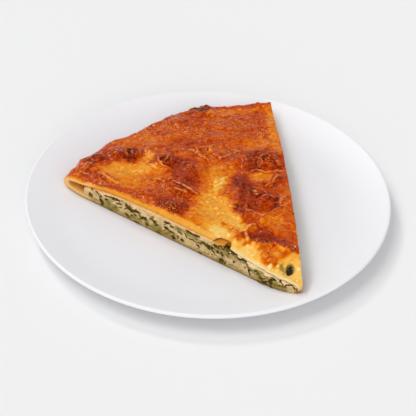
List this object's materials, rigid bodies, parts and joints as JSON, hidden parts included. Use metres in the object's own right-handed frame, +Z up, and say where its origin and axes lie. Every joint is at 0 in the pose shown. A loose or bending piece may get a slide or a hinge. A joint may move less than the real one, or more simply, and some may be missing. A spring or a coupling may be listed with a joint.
{
  "type": "ossetian pie",
  "caption": "Slice of a flat round pie, cheese and chopped greens between two thin baked crusts, lying on a round coupe plate.",
  "frame": {"origin": "centre of the plate, on the surface that it stands on", "axes": "+Z up; seen from above, the tip of the slice points towards +X and -Y and its closed rim lies towards -X and +Y"},
  "size_m": [0.2, 0.2, 0.0216],
  "materials": {
    "plate": "white porcelain with a clear gloss glaze",
    "crust": "baked dough, orange to dark brown and buttered, pale where it was not browned",
    "filling": "moist pale cheese with chopped dark green leaves and olive stems"
  },
  "bodies": {
    "root": {"plate": "plate", "crust": "crust", "filling": "filling"}
  },
  "joints": []
}
